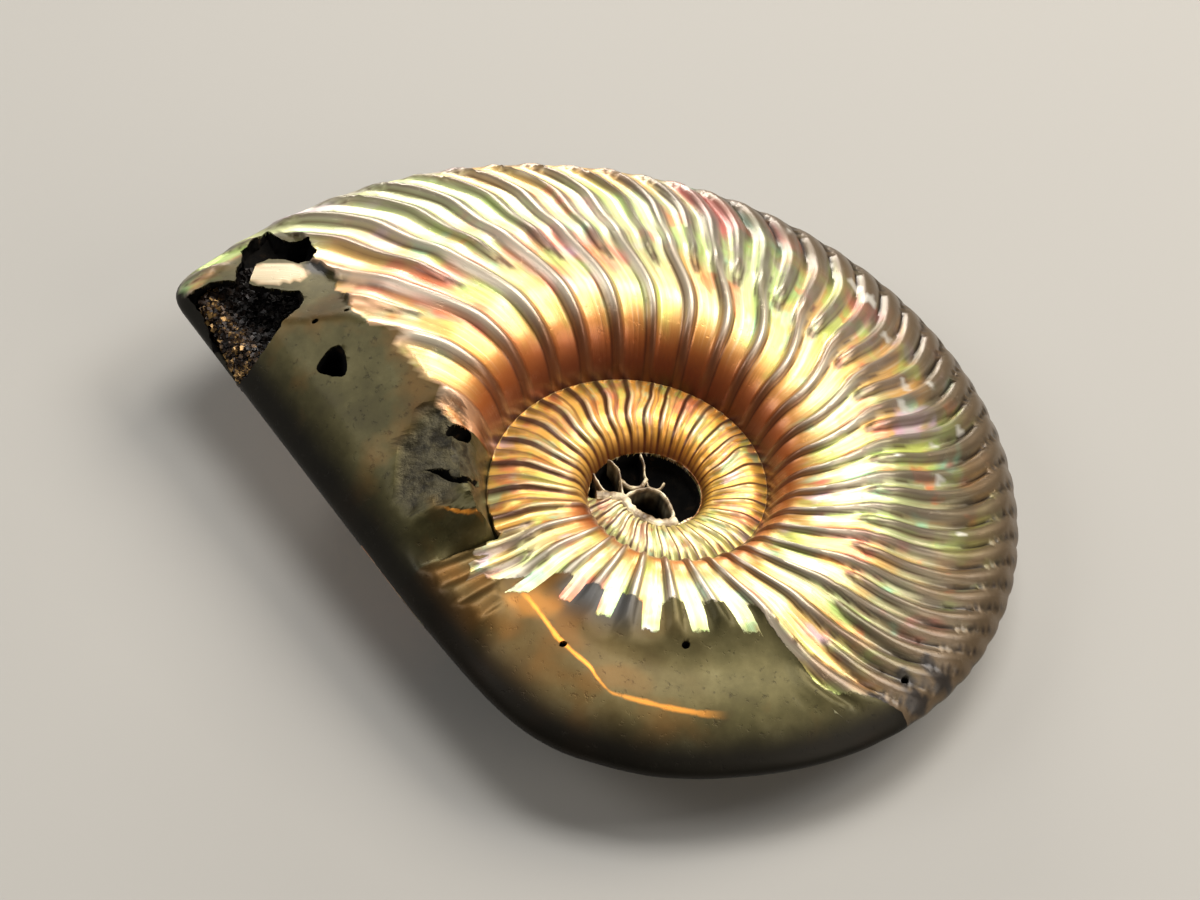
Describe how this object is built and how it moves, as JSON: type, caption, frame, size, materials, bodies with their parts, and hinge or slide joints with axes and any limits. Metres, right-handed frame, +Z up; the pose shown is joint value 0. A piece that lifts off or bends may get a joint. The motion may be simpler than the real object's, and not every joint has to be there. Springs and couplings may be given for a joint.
{
  "type": "pyritized ammonite",
  "caption": "Flat coiled ribbed fossil shell, pearly skin over a metallic core, ground along one edge, with a broken crystal-lined hollow near the tip and an open chambered hub; lies flat.",
  "frame": {"origin": "centre of the footprint, on the surface that the coil lies on", "axes": "+X from the ground tip across the coil's long way, +Y towards the round outer edge opposite the ground side, +Z up out of the side that shows"},
  "size_m": [0.0448, 0.0382, 0.0114],
  "materials": {
    "ammonite": "pearly iridescent skin over polished grey-olive pyrite",
    "crystal_crust": "granular brown and gold crystals"
  },
  "bodies": {
    "root": {"ammonite": "ammonite", "crystal_crust": "crystal_crust"}
  },
  "joints": []
}
